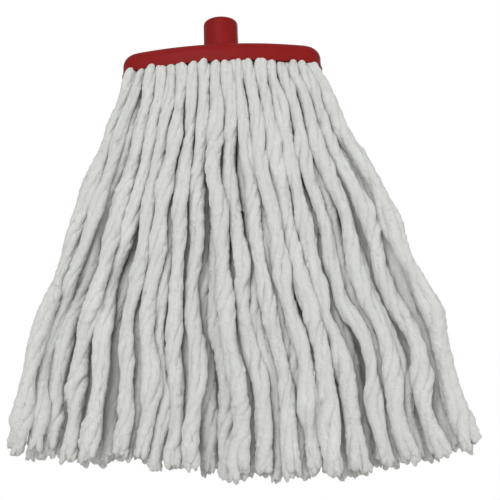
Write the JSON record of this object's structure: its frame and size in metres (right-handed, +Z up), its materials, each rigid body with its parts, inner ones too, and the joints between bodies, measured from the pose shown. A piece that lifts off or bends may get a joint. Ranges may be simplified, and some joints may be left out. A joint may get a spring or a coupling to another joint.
{
  "type": "string mop head",
  "caption": "Wide, shallow oval mop head: a plastic cap with a blind round handle socket on top and thick loose cotton strands clamped inside that hang and fan out below.",
  "frame": {"origin": "on the handle socket's axis, level with the top of the cap's deck, which is also the floor of the socket", "axes": "+Z up along the socket, towards the handle; +X along the cap's long way; -Y towards the front"},
  "size_m": [0.3436, 0.074, 0.376],
  "materials": {
    "cap_plastic": "satin",
    "plate_plastic": "matte",
    "screw_steel": "satin",
    "yarn_cotton": "matte"
  },
  "bodies": {
    "cap": {"socket_cap": "cap_plastic", "clamp_plate": "plate_plastic", "clamp_screws": "screw_steel", "yarn_fold_1": "yarn_cotton", "yarn_fold_2": "yarn_cotton", "yarn_fold_3": "yarn_cotton", "yarn_fold_4": "yarn_cotton", "yarn_fold_5": "yarn_cotton", "yarn_fold_6": "yarn_cotton", "yarn_fold_7": "yarn_cotton", "yarn_fold_8": "yarn_cotton", "yarn_fold_9": "yarn_cotton"},
    "front_1": {"yarn_front_1": "yarn_cotton"},
    "back_1": {"yarn_back_1": "yarn_cotton"},
    "front_2": {"yarn_front_2": "yarn_cotton"},
    "back_2": {"yarn_back_2": "yarn_cotton"},
    "front_3": {"yarn_front_3": "yarn_cotton"},
    "back_3": {"yarn_back_3": "yarn_cotton"},
    "front_4": {"yarn_front_4": "yarn_cotton"},
    "back_4": {"yarn_back_4": "yarn_cotton"},
    "front_5": {"yarn_front_5": "yarn_cotton"},
    "back_5": {"yarn_back_5": "yarn_cotton"},
    "front_6": {"yarn_front_6": "yarn_cotton"},
    "back_6": {"yarn_back_6": "yarn_cotton"},
    "front_7": {"yarn_front_7": "yarn_cotton"},
    "back_7": {"yarn_back_7": "yarn_cotton"},
    "front_8": {"yarn_front_8": "yarn_cotton"},
    "back_8": {"yarn_back_8": "yarn_cotton"},
    "front_9": {"yarn_front_9": "yarn_cotton"},
    "back_9": {"yarn_back_9": "yarn_cotton"}
  },
  "joints": [
    {"name": "front_swing_1", "type": "hinge", "parent": "cap", "child": "front_1", "pos_m": [-0.0704, -0.01228, -0.024], "axis": [1, 0, 0], "range_deg": [-45, 45]},
    {"name": "back_swing_1", "type": "hinge", "parent": "cap", "child": "back_1", "pos_m": [-0.0704, 0.01228, -0.024], "axis": [1, 0, 0], "range_deg": [-45, 45]},
    {"name": "front_swing_2", "type": "hinge", "parent": "cap", "child": "front_2", "pos_m": [-0.0546, -0.0161, -0.024], "axis": [1, 0, 0], "range_deg": [-45, 45]},
    {"name": "back_swing_2", "type": "hinge", "parent": "cap", "child": "back_2", "pos_m": [-0.0546, 0.0161, -0.024], "axis": [1, 0, 0], "range_deg": [-45, 45]},
    {"name": "front_swing_3", "type": "hinge", "parent": "cap", "child": "front_3", "pos_m": [-0.0388, -0.01908, -0.024], "axis": [1, 0, 0], "range_deg": [-45, 45]},
    {"name": "back_swing_3", "type": "hinge", "parent": "cap", "child": "back_3", "pos_m": [-0.0388, 0.01908, -0.024], "axis": [1, 0, 0], "range_deg": [-45, 45]},
    {"name": "front_swing_4", "type": "hinge", "parent": "cap", "child": "front_4", "pos_m": [-0.0158, -0.02158, -0.024], "axis": [1, 0, 0], "range_deg": [-45, 45]},
    {"name": "back_swing_4", "type": "hinge", "parent": "cap", "child": "back_4", "pos_m": [-0.0158, 0.02158, -0.024], "axis": [1, 0, 0], "range_deg": [-45, 45]},
    {"name": "front_swing_5", "type": "hinge", "parent": "cap", "child": "front_5", "pos_m": [0, -0.02204, -0.024], "axis": [1, 0, 0], "range_deg": [-45, 45]},
    {"name": "back_swing_5", "type": "hinge", "parent": "cap", "child": "back_5", "pos_m": [0, 0.02204, -0.024], "axis": [1, 0, 0], "range_deg": [-45, 45]},
    {"name": "front_swing_6", "type": "hinge", "parent": "cap", "child": "front_6", "pos_m": [0.0158, -0.02158, -0.024], "axis": [1, 0, 0], "range_deg": [-45, 45]},
    {"name": "back_swing_6", "type": "hinge", "parent": "cap", "child": "back_6", "pos_m": [0.0158, 0.02158, -0.024], "axis": [1, 0, 0], "range_deg": [-45, 45]},
    {"name": "front_swing_7", "type": "hinge", "parent": "cap", "child": "front_7", "pos_m": [0.0388, -0.01908, -0.024], "axis": [1, 0, 0], "range_deg": [-45, 45]},
    {"name": "back_swing_7", "type": "hinge", "parent": "cap", "child": "back_7", "pos_m": [0.0388, 0.01908, -0.024], "axis": [1, 0, 0], "range_deg": [-45, 45]},
    {"name": "front_swing_8", "type": "hinge", "parent": "cap", "child": "front_8", "pos_m": [0.0546, -0.0161, -0.024], "axis": [1, 0, 0], "range_deg": [-45, 45]},
    {"name": "back_swing_8", "type": "hinge", "parent": "cap", "child": "back_8", "pos_m": [0.0546, 0.0161, -0.024], "axis": [1, 0, 0], "range_deg": [-45, 45]},
    {"name": "front_swing_9", "type": "hinge", "parent": "cap", "child": "front_9", "pos_m": [0.0704, -0.01228, -0.024], "axis": [1, 0, 0], "range_deg": [-45, 45]},
    {"name": "back_swing_9", "type": "hinge", "parent": "cap", "child": "back_9", "pos_m": [0.0704, 0.01228, -0.024], "axis": [1, 0, 0], "range_deg": [-45, 45]}
  ],
  "couplings": [
    {"joint": "back_swing_1", "follows": "front_swing_1", "ratio": 1},
    {"joint": "back_swing_2", "follows": "front_swing_2", "ratio": 1},
    {"joint": "back_swing_3", "follows": "front_swing_3", "ratio": 1},
    {"joint": "back_swing_4", "follows": "front_swing_4", "ratio": 1},
    {"joint": "back_swing_5", "follows": "front_swing_5", "ratio": 1},
    {"joint": "back_swing_6", "follows": "front_swing_6", "ratio": 1},
    {"joint": "back_swing_7", "follows": "front_swing_7", "ratio": 1},
    {"joint": "back_swing_8", "follows": "front_swing_8", "ratio": 1},
    {"joint": "back_swing_9", "follows": "front_swing_9", "ratio": 1}
  ]
}
